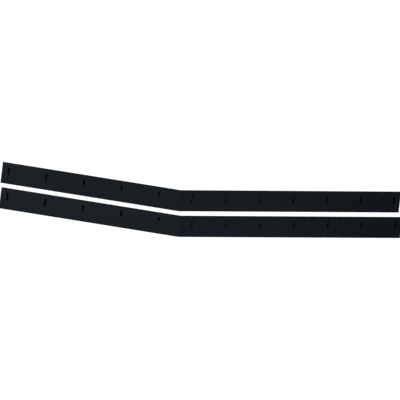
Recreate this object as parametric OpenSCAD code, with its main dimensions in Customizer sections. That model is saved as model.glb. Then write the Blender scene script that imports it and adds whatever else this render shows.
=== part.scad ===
// A pair of V-bent wear bars: the replaceable bottom edges of an ATV plow blade.
// Each bar is one strip of flat steel, bent once, with a row of upright slots for
// the bolts that clamp it to the blade. The two bars are alike. They stand on
// their lower edges, one behind the other, with the nose of the bend towards -Y.
// The origin is the middle of the pair's footprint, on the surface it stands on.

/* [Bar stock] */
// Height of the bar, from the lower edge to the upper edge
bar_height = 76.2; // [72:0.1:100]
// Thickness of the bar
bar_thickness = 6.35; // [4:0.05:10]

/* [Wings] */
// Length of the left wing, from its end to the point of the bend
left_wing = 650; // [620:5:1000]
// Length of the right wing, from its end to the point of the bend
right_wing = 895; // [885:5:1300]
// Angle by which the left wing sweeps back
left_sweep = 11; // [5:1:30]
// Angle by which the right wing sweeps back
right_sweep = 28; // [5:1:40]
// Inner radius of the bend, on the back face
bend_radius = 9; // [6:0.5:20]

/* [Bolt slots] */
// Number of slots in the left wing
left_slots = 5; // [2:1:5]
// Number of slots in the right wing
right_slots = 7; // [2:1:7]
// Distance from one slot to the next
slot_pitch = 137; // [60:1:137]
// Distance from the end of a wing to the middle of its outermost slot
end_margin = 25; // [15:1:30]
// Width of a slot, for a bolt of 6 mm
slot_width = 7; // [6:0.5:11]
// Length of a slot, from end to end
slot_length = 28; // [20:1:36]
// Height of the middle of a slot above the lower edge
slot_height = 46; // [40:1:52]

/* [Pair] */
// Distance from the front bar to the rear bar
pair_spacing = 430; // [300:10:600]

/* [Hidden] */
$fn = 96;
overcut = 1;                                  // how far a cutter runs past the face it cuts
outer_radius = bend_radius + bar_thickness;   // radius of the bend on the front face
bend_angle = left_sweep + right_sweep;
bend_steps = 26;                              // flats that make up the round bend

// Centre of the round bend, seen from the point where the front faces would cross
nose_turn = (right_sweep - left_sweep) / 2;
nose_reach = outer_radius / cos(bend_angle / 2);
bend_centre = nose_reach * [-sin(nose_turn), cos(nose_turn)];

// Corner of a wing's end in plan; side is 1 for the right wing and -1 for the left one
function wing_corner(length, sweep, side, depth) = [
    side * (length * cos(sweep) - depth * sin(sweep)),
    length * sin(sweep) + depth * cos(sweep)
];

// Points along the bend from the left wing to the right one
function bend_arc(radius) = [
    for (i = [0 : bend_steps])
        let (angle = -90 - left_sweep + bend_angle * i / bend_steps)
            bend_centre + radius * [cos(angle), sin(angle)]
];
function reversed(points) = [for (i = [len(points) - 1 : -1 : 0]) points[i]];

// Plan of one bar with the point of its bend at [0, 0]
bar_plan = concat(
    [wing_corner(left_wing, left_sweep, -1, 0)],
    bend_arc(outer_radius),
    [wing_corner(right_wing, right_sweep, 1, 0)],
    [wing_corner(right_wing, right_sweep, 1, bar_thickness)],
    reversed(bend_arc(bend_radius)),
    [wing_corner(left_wing, left_sweep, -1, bar_thickness)]
);
plan_x = [for (point = bar_plan) point.x];
plan_y = [for (point = bar_plan) point.y];

// Middle of the pair's footprint, seen from the point of the front bar's bend
pair_middle = [
    (min(plan_x) + max(plan_x)) / 2,
    (min(plan_y) + max(plan_y) + pair_spacing) / 2
];

// Cuts one upright slot through a wing, centred on X = 0
module slot_cut() {
    straight = slot_length - slot_width;
    depth = bar_thickness + 2 * overcut;
    translate([0, bar_thickness / 2, slot_height]) {
        cube([slot_width, depth, straight], center = true);
        for (end = [-1, 1])
            translate([0, 0, end * straight / 2])
                rotate([90, 0, 0])
                    cylinder(h = depth, d = slot_width, center = true);
    }
}

// All that is cut out of one wing
module wing_cuts(length, slots) {
    for (i = [0 : slots - 1])
        translate([length - end_margin - i * slot_pitch, 0, 0])
            slot_cut();
}

// One whole bar, with the point of its bend at the origin
module wear_bar() {
    difference() {
        linear_extrude(bar_height)
            polygon(bar_plan);
        rotate([0, 0, right_sweep])
            wing_cuts(right_wing, right_slots);
        mirror([1, 0, 0])
            rotate([0, 0, left_sweep])
                wing_cuts(left_wing, left_slots);
    }
}

module front_wear_bar() {
    color("#1b2024")
        translate([-pair_middle.x, -pair_middle.y, 0])
            wear_bar();
}

module rear_wear_bar() {
    color("#1b2024")
        translate([-pair_middle.x, pair_spacing - pair_middle.y, 0])
            wear_bar();
}

front_wear_bar();
rear_wear_bar();
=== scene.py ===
"""A pair of V-bent wear bars for an ATV plow blade, powder-coated black, on a pale studio floor.

Each bar is one strip of flat steel, bent once, with a row of upright bolt slots. Its skin is worked out
in the bar's own flat coordinates (along the bar, up it, and through it from the front face), and then
carried round the bend. Lengths are in metres, and angles in radians.
"""

import logging
import math
from dataclasses import dataclass, field
from enum import Enum

import bpy
import numpy as np
from mathutils import Matrix, Vector


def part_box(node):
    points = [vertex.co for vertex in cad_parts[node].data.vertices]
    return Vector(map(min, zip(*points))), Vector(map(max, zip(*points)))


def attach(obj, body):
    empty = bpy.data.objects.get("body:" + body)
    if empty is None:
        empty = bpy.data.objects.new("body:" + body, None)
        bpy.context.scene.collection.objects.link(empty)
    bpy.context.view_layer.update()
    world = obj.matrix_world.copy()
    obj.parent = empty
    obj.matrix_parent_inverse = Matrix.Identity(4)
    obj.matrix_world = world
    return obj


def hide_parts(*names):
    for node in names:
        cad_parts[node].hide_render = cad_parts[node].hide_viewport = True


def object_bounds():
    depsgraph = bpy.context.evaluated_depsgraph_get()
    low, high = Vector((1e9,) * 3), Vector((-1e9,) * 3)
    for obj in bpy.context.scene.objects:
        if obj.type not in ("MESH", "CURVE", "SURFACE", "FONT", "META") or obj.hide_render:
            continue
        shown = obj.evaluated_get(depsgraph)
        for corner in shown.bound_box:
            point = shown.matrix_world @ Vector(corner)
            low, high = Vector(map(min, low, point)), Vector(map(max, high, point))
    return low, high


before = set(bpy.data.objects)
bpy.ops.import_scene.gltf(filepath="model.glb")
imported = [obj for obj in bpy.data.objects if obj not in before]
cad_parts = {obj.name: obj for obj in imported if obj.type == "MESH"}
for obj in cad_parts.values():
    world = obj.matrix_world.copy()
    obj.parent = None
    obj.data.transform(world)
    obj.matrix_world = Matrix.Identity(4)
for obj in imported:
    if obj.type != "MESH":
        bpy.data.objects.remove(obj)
CAD_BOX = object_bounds()

log = logging.getLogger("wear_bars")
MM = 0.001
WELD_GRID = 1e-7  # points of neighbouring grids in the same cell of this grid are one point


def linear(hex_colour: str) -> tuple[float, float, float, float]:
    """Turns an sRGB hex colour into the linear colour that shaders take, by the sRGB standard's curve.

    Args:
        hex_colour: a hash sign and six hex digits.

    Returns:
        Red, green and blue as linear values from 0 to 1, and an alpha of 1.
    """
    channels = [int(hex_colour[i:i + 2], 16) / 255 for i in (1, 3, 5)]
    red, green, blue = (c / 12.92 if c <= 0.04045 else ((c + 0.055) / 1.055) ** 2.4 for c in channels)
    return red, green, blue, 1.0


def add_node(tree: bpy.types.NodeTree, kind: str, inputs: dict[str | int, object] | None = None,
             **settings: object) -> bpy.types.Node:
    """Adds one node to a tree.

    Args:
        tree: the node tree.
        kind: the node's type name.
        inputs: socket name or number to a value, or to the output socket that is linked to it.
        settings: attributes of the node itself.

    Returns:
        The new node.
    """
    made = tree.nodes.new(kind)
    for name, value in settings.items():
        setattr(made, name, value)
    for name, value in (inputs or {}).items():
        if isinstance(value, bpy.types.NodeSocket):
            tree.links.new(value, made.inputs[name])
        else:
            made.inputs[name].default_value = value
    return made


def empty_material(name: str) -> bpy.types.Material:
    """Makes a node material with no nodes in it.

    Args:
        name: the material's name.

    Returns:
        The empty material.
    """
    made = bpy.data.materials.new(name)
    made.use_nodes = True
    made.node_tree.nodes.clear()
    return made


# Sockets of a colour Mix node
MIX_A, MIX_B, MIX_OUT = 6, 7, 2


@dataclass(frozen=True)
class PowderCoat:
    """Black polyester powder coat, sprayed on flat steel and baked.

    It gives the eye a deep blue-black satin: a soft sheen that spreads wide, a fine orange peel, slow waves
    where the rolled strip under it isn't quite flat, and a thinner, greyer, duller film over the torn steel
    of the sheared edges and punched slots. Satin coats start near a roughness of 0.4 and a specular level
    of 0.5. This one is matched a little rougher, and far less bright in its reflections.
    """

    name: str = "sprayed_black_powder_coat"
    slot: str = "black_powder_coat"
    colour: str = "#040a10"
    cloud_colour: str = "#060d13"
    edge_colour: str = "#0b1117"
    roughness: tuple[float, float] = (0.43, 0.53)
    edge_roughness: float = 0.80
    specular: float = 0.052
    edge_specular: float = 0.008
    peel_pitch: float = 2.4 * MM    # real peel is near 1 mm across; it is drawn coarser so that it shows
    peel_depth: float = 0.012 * MM
    wave_pitch: float = 160 * MM
    wave_depth: float = 0.20 * MM
    cloud_pitch: float = 55 * MM
    cloud_range: tuple[float, float] = (0.3, 0.7)   # noise values at the two ends of the roughness

    def material(self) -> bpy.types.Material:
        """Builds the coat: clouded colour and gloss, thin at the edges, over peel and waves as two bumps.

        Returns:
            The material.
        """
        made = empty_material(self.name)
        tree = made.node_tree
        place = add_node(tree, "ShaderNodeTexCoord").outputs["Object"]
        thin = add_node(tree, "ShaderNodeAttribute", attribute_name="thin_coat").outputs["Fac"]
        peel = add_node(tree, "ShaderNodeTexNoise",
                        {"Vector": place, "Scale": 1 / self.peel_pitch, "Detail": 1.0})
        wave = add_node(tree, "ShaderNodeTexNoise",
                        {"Vector": place, "Scale": 1 / self.wave_pitch, "Detail": 0.0})
        cloud = add_node(tree, "ShaderNodeTexNoise",
                         {"Vector": place, "Scale": 1 / self.cloud_pitch, "Detail": 3.0, "Roughness": 0.6})
        clouded = add_node(tree, "ShaderNodeMix",
                           {"Factor": cloud.outputs["Fac"], MIX_A: linear(self.colour),
                            MIX_B: linear(self.cloud_colour)}, data_type="RGBA")
        colour = add_node(tree, "ShaderNodeMix",
                          {"Factor": thin, MIX_A: clouded.outputs[MIX_OUT],
                           MIX_B: linear(self.edge_colour)}, data_type="RGBA")
        satin = add_node(tree, "ShaderNodeMapRange",
                         {"Value": cloud.outputs["Fac"],
                          "From Min": self.cloud_range[0], "From Max": self.cloud_range[1],
                          "To Min": self.roughness[0], "To Max": self.roughness[1]})
        gloss = add_node(tree, "ShaderNodeMapRange",
                         {"Value": thin, "To Min": satin.outputs["Result"], "To Max": self.edge_roughness})
        waves = add_node(tree, "ShaderNodeBump",
                         {"Height": wave.outputs["Fac"], "Distance": self.wave_depth})
        skin = add_node(tree, "ShaderNodeBump",
                        {"Height": peel.outputs["Fac"], "Distance": self.peel_depth,
                         "Normal": waves.outputs["Normal"]})
        shine = add_node(tree, "ShaderNodeMapRange",
                         {"Value": thin, "To Min": self.specular, "To Max": self.edge_specular})
        shader = add_node(tree, "ShaderNodeBsdfPrincipled",
                          {"Base Color": colour.outputs[MIX_OUT], "Roughness": gloss.outputs["Result"],
                           "Normal": skin.outputs["Normal"], "Specular IOR Level": shine.outputs["Result"]})
        add_node(tree, "ShaderNodeOutputMaterial", {"Surface": shader.outputs["BSDF"]})
        return made


@dataclass(frozen=True)
class OpalSheet:
    """Opal acrylic sheet, cast and satin-ground, lit from below as the top of a light table.

    It gives the eye an even white with no hard shadow: it scatters what falls on it, and its glow fills in.
    The camera's exposure is set on the sheet, so that the sheet itself comes out just over full white.
    """

    name: str = "ground_opal_acrylic"
    colour: str = "#f9f9f9"
    haze_colour: str = "#f6f6f6"
    roughness: float = 0.9
    haze_pitch: float = 60 * MM
    glow: tuple[float, float] = (0.80, 0.05)        # over the tubes, and past their right-hand ends
    tube_end: tuple[float, float] = (0.22, 0.79)    # along X: where the glow starts to fade, and ends
    tube_gain: tuple[float, float] = (1.0, 1.6)     # the tubes sit closer together towards the back
    tube_rows: tuple[float, float] = (-0.60, 0.05)  # along Y: where the gain starts to rise, and ends
    seen: float = 1.1       # brightness that the camera sees: more would eat into the edges of dark things

    def material(self) -> bpy.types.Material:
        """Builds the sheet: two close whites, mixed by a slow haze, over the glow of the tubes beneath.

        The glow fades smoothly past the tubes' ends and rises smoothly towards the back. It is what lights
        the bars and shows in them. The camera itself sees one even white instead.

        Returns:
            The material.
        """
        made = empty_material(self.name)
        tree = made.node_tree
        place = add_node(tree, "ShaderNodeTexCoord").outputs["Object"]
        haze = add_node(tree, "ShaderNodeTexNoise",
                        {"Vector": place, "Scale": 1 / self.haze_pitch, "Detail": 2.0})
        colour = add_node(tree, "ShaderNodeMix",
                          {"Factor": haze.outputs["Fac"], MIX_A: linear(self.colour),
                           MIX_B: linear(self.haze_colour)}, data_type="RGBA")
        spot = add_node(tree, "ShaderNodeSeparateXYZ", {"Vector": place})
        fade = add_node(tree, "ShaderNodeMapRange",
                        {"Value": spot.outputs["X"],
                         "From Min": self.tube_end[0], "From Max": self.tube_end[1],
                         "To Min": self.glow[0], "To Max": self.glow[1]}, interpolation_type="SMOOTHSTEP")
        gain = add_node(tree, "ShaderNodeMapRange",
                        {"Value": spot.outputs["Y"],
                         "From Min": self.tube_rows[0], "From Max": self.tube_rows[1],
                         "To Min": self.tube_gain[0], "To Max": self.tube_gain[1]},
                        interpolation_type="SMOOTHSTEP")
        glow = add_node(tree, "ShaderNodeMath", {0: fade.outputs["Result"], 1: gain.outputs["Result"]},
                        operation="MULTIPLY")
        shader = add_node(tree, "ShaderNodeBsdfPrincipled",
                          {"Base Color": colour.outputs[MIX_OUT], "Roughness": self.roughness,
                           "Specular IOR Level": 0.0, "Emission Color": colour.outputs[MIX_OUT],
                           "Emission Strength": glow.outputs["Value"]})
        full = add_node(tree, "ShaderNodeEmission", {"Strength": self.seen})
        ray = add_node(tree, "ShaderNodeLightPath")
        surface = add_node(tree, "ShaderNodeMixShader",
                           {"Fac": ray.outputs["Is Camera Ray"], 1: shader.outputs["BSDF"],
                            2: full.outputs["Emission"]})
        add_node(tree, "ShaderNodeOutputMaterial", {"Surface": surface.outputs["Shader"]})
        return made


@dataclass(frozen=True)
class SlotShadeFelt:
    """Black wool felt, pressed and cut into cards that stand in the slots as painted shade, with a grey
    band of painted light across them.

    The dark cards paint the shade that the eye sees inside each slot: their fibres trap nearly all light.
    The grey band is
    painted light: in the middle of the bar it leaves a slot dark above and below a dull patch, no brighter
    than the coat round it.
    """

    name: str = "painted_slot_shade_felt"
    # painted shade: the near-black of the cards that darken the inside of the slots
    colour: str = "#020203"
    fibre_colour: str = "#060607"
    # painted light: grey of the band that stands in for light seen in the middle of the slots
    painted_light_colour: str = "#1b1f21"
    roughness: float = 1.0
    fibre_pitch: float = 0.8 * MM
    streak_height: float = 40 * MM      # height of the streak's middle, left of the bend
    streak_step: float = 8.5 * MM       # how much higher it is right of the bend
    streak_bend: tuple[float, float] = (-200 * MM, -30 * MM)    # along X: where the step starts, and ends
    streak_rise: float = 0.013          # its slope along X, beside that
    streak_half: tuple[float, float] = (2.5 * MM, 6.5 * MM)     # upwards: where it is full, and ends
    streak_middle: float = -20 * MM     # its middle along X
    streak_reach: tuple[float, float] = (250 * MM, 550 * MM)    # along X: where it is full, and ends

    def material(self) -> bpy.types.Material:
        """Builds the felt: two near-blacks, mixed by a noise the size of its fibres, and a grey streak of
        painted light.

        The streak's middle line slopes, and climbs a step at the bend. The streak is full where a point is
        near both to that line and to its middle along X, and fades smoothly with either distance.

        Returns:
            The material.
        """
        made = empty_material(self.name)
        tree = made.node_tree
        place = add_node(tree, "ShaderNodeTexCoord").outputs["Object"]
        fibre = add_node(tree, "ShaderNodeTexNoise",
                         {"Vector": place, "Scale": 1 / self.fibre_pitch, "Detail": 2.0})
        black = add_node(tree, "ShaderNodeMix",
                         {"Factor": fibre.outputs["Fac"], MIX_A: linear(self.colour),
                          MIX_B: linear(self.fibre_colour)}, data_type="RGBA")
        spot = add_node(tree, "ShaderNodeSeparateXYZ", {"Vector": place})
        step = add_node(tree, "ShaderNodeMapRange",
                        {"Value": spot.outputs["X"],
                         "From Min": self.streak_bend[0], "From Max": self.streak_bend[1],
                         "To Min": self.streak_height, "To Max": self.streak_height + self.streak_step},
                        interpolation_type="SMOOTHSTEP")
        line = add_node(tree, "ShaderNodeMath",
                        {0: spot.outputs["X"], 1: self.streak_rise, 2: step.outputs["Result"]},
                        operation="MULTIPLY_ADD")
        across = self.nearness(tree, spot.outputs["Z"], line.outputs["Value"], self.streak_half)
        along = self.nearness(tree, spot.outputs["X"], self.streak_middle, self.streak_reach)
        # painted light: where the grey band lies across the cards
        painted_light_band = add_node(tree, "ShaderNodeMath", {0: across, 1: along}, operation="MULTIPLY")
        colour = add_node(tree, "ShaderNodeMix",
                          {"Factor": painted_light_band.outputs["Value"], MIX_A: black.outputs[MIX_OUT],
                           MIX_B: linear(self.painted_light_colour)}, data_type="RGBA")
        shader = add_node(tree, "ShaderNodeBsdfPrincipled",
                          {"Base Color": colour.outputs[MIX_OUT], "Roughness": self.roughness,
                           "Specular IOR Level": 0.0})
        add_node(tree, "ShaderNodeOutputMaterial", {"Surface": shader.outputs["BSDF"]})
        return made

    @staticmethod
    def nearness(tree: bpy.types.NodeTree, value: bpy.types.NodeSocket,
                 middle: float | bpy.types.NodeSocket, reach: tuple[float, float]) -> bpy.types.NodeSocket:
        """Adds nodes for how near a value is to a middle.

        Args:
            tree: the node tree.
            value: the value.
            middle: what it is compared with.
            reach: the distance up to which the result is 1, and the one from which it is 0.

        Returns:
            The socket with the result.
        """
        away = add_node(tree, "ShaderNodeMath", {0: value, 1: middle}, operation="SUBTRACT")
        distance = add_node(tree, "ShaderNodeMath", {0: away.outputs["Value"]}, operation="ABSOLUTE")
        full, ended = reach
        near = add_node(tree, "ShaderNodeMapRange",
                        {"Value": distance.outputs["Value"], "From Min": full, "From Max": ended,
                         "To Min": 1.0, "To Max": 0.0}, interpolation_type="SMOOTHSTEP")
        return near.outputs["Result"]


class Face(Enum):
    """The two broad faces of a bar; the value is the way the face looks, along depth."""

    FRONT = -1
    BACK = 1


@dataclass(frozen=True)
class BarShape:
    """The strip that a bar is made of, and the path that it is bent along.

    Bar coordinates are (along, height, depth): along the front face from the left end, up from the lower
    edge, and through the steel from the front face to the back one.
    """

    height: float
    thickness: float = 6.35 * MM
    left_wing: float = 650 * MM     # from the wing's end to the point of the bend
    right_wing: float = 895 * MM
    left_sweep: float = math.radians(11)
    right_sweep: float = math.radians(28)
    bend_radius: float = 9 * MM     # on the back face
    left_slots: int = 5
    right_slots: int = 7
    slot_pitch: float = 137 * MM
    end_margin: float = 25 * MM
    slot_width: float = 7 * MM
    slot_length: float = 28 * MM
    slot_height: float = 46 * MM
    lip: float = 0.5 * MM           # rounding of every edge, as punching, shearing and the coat leave it

    @property
    def outer_radius(self) -> float:
        """Radius of the bend on the front face."""
        return self.bend_radius + self.thickness

    @property
    def bend_angle(self) -> float:
        """Angle between the two wings' directions."""
        return self.left_sweep + self.right_sweep

    @property
    def setback(self) -> float:
        """How much of each wing the bend takes up, from where the front faces would cross."""
        return self.outer_radius * math.tan(self.bend_angle / 2)

    @property
    def bend_start(self) -> float:
        """Where the bend begins along the front face: the left wing, less its setback."""
        return self.left_wing - self.setback

    @property
    def bend_end(self) -> float:
        """Where the bend ends along the front face: its start plus its arc."""
        return self.bend_start + self.outer_radius * self.bend_angle

    @property
    def length(self) -> float:
        """Whole length along the front face."""
        return self.bend_end + self.right_wing - self.setback

    @property
    def slot_places(self) -> np.ndarray:
        """Middles of the slots: even steps of the pitch, inwards from each end.

        Returns:
            Places along the front face, from left to right.
        """
        left = self.end_margin + self.slot_pitch * np.arange(self.left_slots)
        right = self.length - self.end_margin - self.slot_pitch * np.arange(self.right_slots)
        return np.sort(np.concatenate([left, right]))

    @property
    def lowest_corner(self) -> Vector:
        """Lowest corner of the strip's box, from the bend's centre: left end, nose and lower edge."""
        return Vector((self.in_space(np.zeros(3))[0], -self.outer_radius, 0.0))

    @property
    def bend_point(self) -> Vector:
        """Foot of the bend: where the front faces of the wings would cross, at the lower edge.

        It lies out from the bend's centre by the outer radius over the cosine of half the bend angle.

        Returns:
            The point as seen from the bend's centre.
        """
        reach = self.outer_radius / math.cos(self.bend_angle / 2)
        turn = self.bend_angle / 2 - self.left_sweep
        return Vector((reach * math.sin(turn), -reach * math.cos(turn), 0.0))

    def heading(self, along: np.ndarray) -> np.ndarray:
        """Direction of the bar in plan: it turns evenly round the bend, from one sweep to the other.

        Args:
            along: places along the front face.

        Returns:
            The direction at each place, as an angle from X.
        """
        turned = np.clip((along - self.bend_start) / (self.bend_end - self.bend_start), 0, 1)
        return self.bend_angle * turned - self.left_sweep

    def in_space(self, spots: np.ndarray) -> np.ndarray:
        """Carries points from bar coordinates to metres round the bend's centre.

        A point lies on a circle of the outer radius less its depth, at the heading's angle, and past either
        end of the bend it goes straight on along the heading.

        Args:
            spots: an array of (along, height, depth).

        Returns:
            An array of the same shape with (x, y, z), where the bend's centre is x = y = 0.
        """
        along, height, depth = np.moveaxis(spots, -1, 0)
        turn = self.heading(along)
        reach = self.outer_radius - depth
        beyond = np.minimum(along - self.bend_start, 0) + np.maximum(along - self.bend_end, 0)
        x = reach * np.sin(turn) + beyond * np.cos(turn)
        y = beyond * np.sin(turn) - reach * np.cos(turn)
        return np.stack([x, y, height], axis=-1)

    def turned(self, spots: np.ndarray, directions: np.ndarray) -> np.ndarray:
        """Turns directions in bar coordinates to space: along follows the heading, depth is square to it.

        Args:
            spots: where the directions start, in bar coordinates.
            directions: an array of (along, height, depth).

        Returns:
            The same directions as (x, y, z).
        """
        turn = self.heading(spots[..., 0])
        along, height, depth = np.moveaxis(directions, -1, 0)
        x = along * np.cos(turn) - depth * np.sin(turn)
        y = along * np.sin(turn) + depth * np.cos(turn)
        return np.stack([x, y, height], axis=-1)


@dataclass
class Skin:
    """Collects grids of points in bar coordinates and joins them into one closed mesh."""

    shape: BarShape
    points: list[np.ndarray] = field(default_factory=list)
    normals: list[np.ndarray] = field(default_factory=list)
    thinness: list[np.ndarray] = field(default_factory=list)
    quads: list[np.ndarray] = field(default_factory=list)

    def add(self, spots: np.ndarray, outward: np.ndarray, thin: np.ndarray) -> None:
        """Adds one grid, and winds its faces so that they look the way its normals do.

        Args:
            spots: rows and columns of (along, height, depth).
            outward: the outward normal at each point, in bar coordinates.
            thin: 1 where the coat is drawn thin over an edge, and 0 on a flat.
        """
        rows, columns = spots.shape[:2]
        first = sum(len(p) for p in self.points)
        number = first + np.arange(rows * columns).reshape(rows, columns)
        quads = np.stack([number[:-1, :-1], number[1:, :-1], number[1:, 1:], number[:-1, 1:]], axis=-1)
        quads = quads.reshape(-1, 4)
        points = self.shape.in_space(spots).reshape(-1, 3)
        normals = self.shape.turned(spots, outward).reshape(-1, 3)
        corners = points[quads - first]
        facing = np.cross(corners[:, 2] - corners[:, 0], corners[:, 3] - corners[:, 1])
        if np.sum(facing * normals[quads[:, 0] - first]) < 0:
            quads = quads[:, ::-1]
        self.points.append(points)
        self.normals.append(normals)
        self.thinness.append(np.broadcast_to(thin, (rows, columns)).reshape(-1))
        self.quads.append(quads)

    def mesh(self, name: str, centre: Vector) -> bpy.types.Mesh:
        """Welds the grids into one mesh.

        Args:
            name: the mesh's name.
            centre: where the bend's centre goes.

        Returns:
            The mesh, with smooth faces, its exact normals, and the thin_coat attribute.
        """
        points = np.concatenate(self.points) + np.array(centre)
        cells = np.round(points / WELD_GRID).astype(np.int64)
        _, kept, number = np.unique(cells, axis=0, return_index=True, return_inverse=True)
        quads = number.reshape(-1)[np.concatenate(self.quads)]
        made = bpy.data.meshes.new(name)
        made.from_pydata(points[kept].tolist(), [], self.faces(quads))
        made.polygons.foreach_set("use_smooth", np.ones(len(made.polygons), bool))
        thin = made.attributes.new("thin_coat", "FLOAT", "POINT")
        thin.data.foreach_set("value", np.concatenate(self.thinness)[kept].astype(np.float32))
        made.update()
        made.normals_split_custom_set_from_vertices(np.concatenate(self.normals)[kept].tolist())
        return made

    @staticmethod
    def faces(quads: np.ndarray) -> list[list[int]]:
        """Splits faces into true quads and, where a side has shrunk to a point, triangles.

        Args:
            quads: four point numbers a face.

        Returns:
            Lists of point numbers, four or three to a face.
        """
        shrunk = quads == np.roll(quads, -1, axis=1)
        whole = quads[~shrunk.any(axis=1)]
        pinched = quads[shrunk.sum(axis=1) == 1]
        gone = shrunk[shrunk.sum(axis=1) == 1]
        triangles = pinched[~gone].reshape(-1, 3)
        return whole.tolist() + triangles.tolist()


@dataclass
class WearBar:
    """One wear bar: a slotted flat strip with rounded edges, bent round its nose."""

    name: str
    node: str
    finish: PowderCoat
    slot_cell: float = 12 * MM      # half the width of the patch of flat round each slot
    column: float = 30 * MM         # longest face along the flats
    rows: int = 12                  # faces up the bar
    arc_steps: int = 12             # faces round each end of a slot
    lip_steps: int = 3              # faces round each rounded edge
    bend_steps: int = 20            # faces round the bend
    card_overlap: float = 0.4 * MM  # how far a slot's card runs into the steel round it
    shape: BarShape = field(init=False)
    centre: Vector = field(init=False)  # centre of the bend

    def __post_init__(self) -> None:
        """Takes the bar's height and place from the frame."""
        low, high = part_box(self.node)
        self.shape = BarShape(height=high.z - low.z)
        self.centre = low - self.shape.lowest_corner

    def levels(self) -> np.ndarray:
        """Heights of the rows of the flats, between the rounded edges."""
        return np.linspace(self.shape.lip, self.shape.height - self.shape.lip, self.rows + 1)

    def stretches(self) -> list[np.ndarray]:
        """Places of the columns of each flat between two slots, or between a slot and an end.

        Returns:
            One array for each stretch, from left to right. The one with the bend has fine steps round it.
        """
        shape = self.shape
        starts = np.append(shape.lip, shape.slot_places + self.slot_cell)
        ends = np.append(shape.slot_places - self.slot_cell, shape.length - shape.lip)
        made = []
        for start, end in zip(starts, ends):
            if start < shape.bend_start < end:
                bend = np.linspace(shape.bend_start, shape.bend_end, self.bend_steps + 1)
                before = self.steps(start, shape.bend_start)[:-1]
                after = self.steps(shape.bend_end, end)[1:]
                made.append(np.concatenate([before, bend, after]))
            else:
                made.append(self.steps(start, end))
        return made

    def steps(self, start: float, end: float) -> np.ndarray:
        """Gives even steps from start to end, none longer than a column."""
        return np.linspace(start, end, 2 + int((end - start) / self.column))

    def lip_rings(self) -> list[tuple[float, float, int]]:
        """Rings across the steel, round the front edge's rounding and then the back edge's.

        Returns:
            For each ring: the angle turned from the flat, its depth, and the sign of its normal's depth.
        """
        turns = np.linspace(0, math.pi / 2, self.lip_steps + 1)
        lip, thickness = self.shape.lip, self.shape.thickness
        front = [(turn, lip * (1 - math.cos(turn)), Face.FRONT.value) for turn in turns]
        back = [(turn, thickness - lip * (1 - math.cos(turn)), Face.BACK.value) for turn in turns[::-1]]
        return front + back

    def add_flats(self, skin: Skin) -> None:
        """Adds the front and back of each stretch between slots, as level grids.

        Args:
            skin: the skin that they are added to.
        """
        for columns in self.stretches():
            along, height = np.meshgrid(columns, self.levels(), indexing="ij")
            for face in Face:
                depth = self.shape.thickness if face is Face.BACK else 0.0
                spots = np.stack([along, height, np.full_like(along, depth)], axis=-1)
                skin.add(spots, np.broadcast_to([0, 0, face.value], spots.shape), np.zeros(along.shape))

    def slot_loop(self) -> tuple[np.ndarray, np.ndarray, np.ndarray]:
        """Works out the loop round one slot, clockwise from the upper left, seen from the front.

        The slot's outline is a point that runs round its core, a straight upright line, plus a direction
        times the half width: the direction turns half a circle at each end of the core and is level along
        its sides. Each point has a partner on the edge of the patch: the half circles go with the patch's
        upper and lower edges, and the sides with its sides.

        Returns:
            The core points, the directions and the patch's edge points, as (along, height) from the middle.
        """
        shape = self.shape
        half = (shape.slot_length - shape.slot_width) / 2
        levels = self.levels() - shape.slot_height
        share = np.linspace(0, 1, self.arc_steps + 1)
        down = np.linspace(1, -1, self.rows + 1)
        over = np.stack([-np.cos(math.pi * share), np.sin(math.pi * share)], axis=-1)
        top_edge = np.stack([self.slot_cell * (2 * share - 1), np.full_like(share, levels[-1])], axis=-1)
        side_edge = np.stack([np.full_like(down, self.slot_cell), levels[::-1]], axis=-1)
        low_edge = np.stack([self.slot_cell * (1 - 2 * share), np.full_like(share, levels[0])], axis=-1)
        core = np.concatenate([
            np.broadcast_to([0, half], over.shape)[:-1],
            np.stack([0 * down, half * down], axis=-1)[:-1],
            np.broadcast_to([0, -half], over.shape)[:-1],
            np.stack([0 * down, -half * down], axis=-1),
        ])
        direction = np.concatenate([
            over[:-1],
            np.broadcast_to([1.0, 0.0], (self.rows, 2)),
            -over[:-1],
            np.broadcast_to([-1.0, 0.0], (self.rows + 1, 2)),
        ])
        edge = np.concatenate([top_edge[:-1], side_edge[:-1], low_edge[:-1], (side_edge * [-1, 1])[::-1]])
        return core, direction, edge

    def add_slots(self, skin: Skin) -> None:
        """Adds each slot as one grid: in over the front flat, round the lip, through, and out at the back.

        A ring is the core plus the direction times its reach: the half width, and on the lip the lip times
        one less the sine of the angle turned.

        Args:
            skin: the skin that it is added to.
        """
        core, direction, edge = self.slot_loop()
        shape = self.shape
        flat = np.zeros(len(core))
        for middle in shape.slot_places:
            offset = np.array([middle, shape.slot_height])
            spots = [np.column_stack([edge + offset, flat])]
            outward = [np.broadcast_to([0.0, 0.0, -1.0], (len(core), 3))]
            thin = [flat]
            for turn, depth, sign in self.lip_rings():
                ring = core + direction * (shape.slot_width / 2 + shape.lip * (1 - math.sin(turn)))
                spots.append(np.column_stack([ring + offset, flat + depth]))
                outward.append(np.column_stack([-direction * math.sin(turn), flat + sign * math.cos(turn)]))
                thin.append(flat + math.sin(turn))
            spots.append(np.column_stack([edge + offset, flat + shape.thickness]))
            outward.append(np.broadcast_to([0.0, 0.0, 1.0], (len(core), 3)))
            thin.append(flat)
            skin.add(np.stack(spots), np.stack(outward), np.stack(thin))

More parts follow.
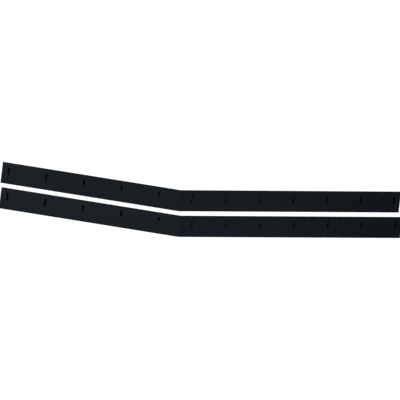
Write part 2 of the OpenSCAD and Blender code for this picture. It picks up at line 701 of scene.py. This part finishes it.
    def rim_loop(self) -> tuple[np.ndarray, np.ndarray]:
        """Works out the loop round the whole bar, clockwise from the upper left, seen from the front.

        The loop follows the edge of the flats. Its direction points straight out along each side, and turns
        a quarter circle at each corner while the point stands still.

        Returns:
            The points of the flats' edge and the outward directions, as (along, height).
        """
        shape = self.shape
        patches = [place + np.linspace(-self.slot_cell, self.slot_cell, self.arc_steps + 1)[1:-1]
                   for place in shape.slot_places]
        columns = np.sort(np.concatenate(self.stretches() + patches))
        levels = self.levels()
        turn = np.linspace(0, math.pi / 2, self.lip_steps + 1)
        sides = [
            (np.column_stack([columns, np.full(len(columns), levels[-1])]), (0.0, 1.0)),
            (np.column_stack([np.full(len(levels), columns[-1]), levels[::-1]]), (1.0, 0.0)),
            (np.column_stack([columns[::-1], np.full(len(columns), levels[0])]), (0.0, -1.0)),
            (np.column_stack([np.full(len(levels), columns[0]), levels]), (-1.0, 0.0)),
        ]
        points, directions = [], []
        for spots, (out_along, out_up) in sides:
            out = np.array([out_along, out_up])
            following = np.array([out_up, -out_along])
            corner = np.cos(turn)[:, None] * out + np.sin(turn)[:, None] * following
            points += [spots, np.broadcast_to(spots[-1], corner[1:].shape)]
            directions += [np.broadcast_to(out, spots.shape), corner[1:]]
        return np.concatenate(points), np.concatenate(directions)

    def add_rim(self, skin: Skin) -> None:
        """Adds the band round the bar: the front edge, the sheared face across the steel, the back edge.

        A ring is the flats' edge, moved out by the lip times the sine of the angle turned.

        Args:
            skin: the skin that it is added to.
        """
        loop, direction = self.rim_loop()
        flat = np.zeros(len(loop))
        spots, outward, thin = [], [], []
        for turn, depth, sign in self.lip_rings():
            ring = loop + direction * self.shape.lip * math.sin(turn)
            spots.append(np.column_stack([ring, flat + depth]))
            outward.append(np.column_stack([direction * math.sin(turn), flat + sign * math.cos(turn)]))
            thin.append(flat + math.sin(turn))
        skin.add(np.stack(spots), np.stack(outward), np.stack(thin))

    def build(self, coat: bpy.types.Material) -> bpy.types.Object:
        """Builds the bar in its place, coats it, and puts it in for its CAD node.

        Args:
            coat: the material of the powder coat.

        Returns:
            The finished piece.
        """
        skin = Skin(self.shape)
        self.add_flats(skin)
        self.add_slots(skin)
        self.add_rim(skin)
        piece = bpy.data.objects.new(self.name, skin.mesh(self.name, self.centre))
        bpy.context.scene.collection.objects.link(piece)
        piece.data.materials.append(coat)
        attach(piece, "root")
        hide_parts(self.node)
        return piece

    def back_slots(self, felt: bpy.types.Material) -> None:
        """Stands a card of felt inside each slot, half way through the steel, as part of the set: a dark
        sheet of painted shade that keeps the slot dark inside.

        Args:
            felt: the material of the cards.
        """
        core, direction, _ = self.slot_loop()
        outline = core + direction * (self.shape.slot_width / 2 + self.card_overlap)
        depth = np.full(len(outline), self.shape.thickness / 2)
        cards = [np.column_stack([outline + [place, self.shape.slot_height], depth])
                 for place in self.shape.slot_places]
        points = self.shape.in_space(np.concatenate(cards)) + np.array(self.centre)
        faces = np.arange(len(points)).reshape(len(cards), -1)
        data = bpy.data.meshes.new(f"{self.name}_slot_shade_cards")
        data.from_pydata(points.tolist(), [], faces.tolist())
        data.materials.append(felt)
        set_piece = bpy.data.objects.new(data.name, data)
        bpy.context.scene.collection.objects.link(set_piece)


@dataclass(frozen=True)
class Softbox:
    """A rectangular studio lamp with a white diffuser, aimed at one point."""

    name: str
    place: tuple[float, float, float]
    aim: tuple[float, float, float]
    size: tuple[float, float]
    watts: float

    def hang(self) -> None:
        """Makes the lamp. The camera doesn't see the lamp itself."""
        data = bpy.data.lights.new(self.name, "AREA")
        data.shape = "RECTANGLE"
        data.size, data.size_y = self.size
        data.energy = self.watts
        lamp = bpy.data.objects.new(self.name, data)
        lamp.location = self.place
        lamp.rotation_euler = (Vector(self.aim) - Vector(self.place)).to_track_quat("-Z", "Y").to_euler()
        lamp.visible_camera = False
        bpy.context.scene.collection.objects.link(lamp)


@dataclass(frozen=True)
class Studio:
    """The floor, lamps and camera. Nothing here is part of the bars."""

    floor_radius: float = 40.0
    floor_sides: int = 96
    sky: float = 1.0
    azimuth: float = math.radians(-1.46)
    elevation: float = math.radians(12.02)
    roll: float = math.radians(7.07)
    distance: float = 60.0          # a long lens from far off, so both bars come out the same size
    view_width: float = 1.4076
    view_depth: float = 240.0       # how far the camera sees: well past the far edge of the floor
    aim_right: float = 0.0757       # the middle of the view, from the foot of the front bar's bend
    aim_up: float = 0.1304
    sensor: float = 36.0            # width of the camera's sensor, in mm
    softboxes: tuple[Softbox, ...] = (
        Softbox("left_softbox", place=(-1.35, -2.25, 0.6), aim=(-0.42, -0.1, 0.04), size=(0.9, 0.6),
                watts=27.0),
    )

    def lay_floor(self) -> None:
        """Makes the floor: the top of a light table, level with the foot of the bars."""
        turn = np.linspace(0, 2 * math.pi, self.floor_sides, endpoint=False)
        rim = np.column_stack([np.cos(turn), np.sin(turn), 0 * turn]) * self.floor_radius
        rim[:, 2] = CAD_BOX[0].z
        data = bpy.data.meshes.new("floor")
        data.from_pydata(rim.tolist(), [], [list(range(self.floor_sides))])
        data.materials.append(OpalSheet().material())
        floor = bpy.data.objects.new("floor", data)
        bpy.context.scene.collection.objects.link(floor)

    def light(self) -> None:
        """Hangs the softboxes under an even pale sky."""
        for softbox in self.softboxes:
            softbox.hang()
        world = bpy.data.worlds.new("sky")
        world.use_nodes = True
        world.node_tree.nodes.clear()
        glow = add_node(world.node_tree, "ShaderNodeBackground",
                        {"Color": (1, 1, 1, 1), "Strength": self.sky})
        add_node(world.node_tree, "ShaderNodeOutputWorld", {"Surface": glow.outputs["Background"]})
        bpy.context.scene.world = world
        bpy.context.scene.view_settings.view_transform = "Standard"

    def set_camera(self, foot: Vector) -> None:
        """Sets up the camera: its direction, a little roll, and its aim beside the front bar's bend.

        Args:
            foot: the foot of the front bar's bend.
        """
        forward = Vector((-math.sin(self.azimuth) * math.cos(self.elevation),
                          math.cos(self.azimuth) * math.cos(self.elevation),
                          -math.sin(self.elevation)))
        level = Vector((math.cos(self.azimuth), math.sin(self.azimuth), 0.0))
        above = level.cross(forward)
        right = level * math.cos(self.roll) + above * math.sin(self.roll)
        up = above * math.cos(self.roll) - level * math.sin(self.roll)
        aim = foot + right * self.aim_right + up * self.aim_up
        data = bpy.data.cameras.new("camera")
        data.sensor_width = self.sensor
        data.lens = self.sensor * self.distance / self.view_width
        data.clip_end = self.view_depth
        camera = bpy.data.objects.new("camera", data)
        turn = Matrix((right, up, -forward)).transposed()
        camera.matrix_world = Matrix.Translation(aim - forward * self.distance) @ turn.to_4x4()
        bpy.context.scene.collection.objects.link(camera)
        bpy.context.scene.camera = camera


def main() -> None:
    """Builds the bars, then the studio round them, and reports each piece."""
    logging.basicConfig(level=logging.INFO, format="%(name)s: %(message)s")
    finish = PowderCoat()
    coat = finish.material()
    bars = [WearBar("front_bar", "front_wear_bar", finish), WearBar("rear_bar", "rear_wear_bar", finish)]
    # painted shade: dark felt cards that make the open slots look dark inside
    felt = SlotShadeFelt().material()
    for bar in bars:
        piece = bar.build(coat)
        bar.back_slots(felt)
        log.info("%s: %d faces for %s", piece.name, len(piece.data.polygons), bar.node)
    studio = Studio()
    studio.lay_floor()
    studio.light()
    studio.set_camera(bars[0].centre + bars[0].shape.bend_point)


if __name__ == "__main__":
    main()
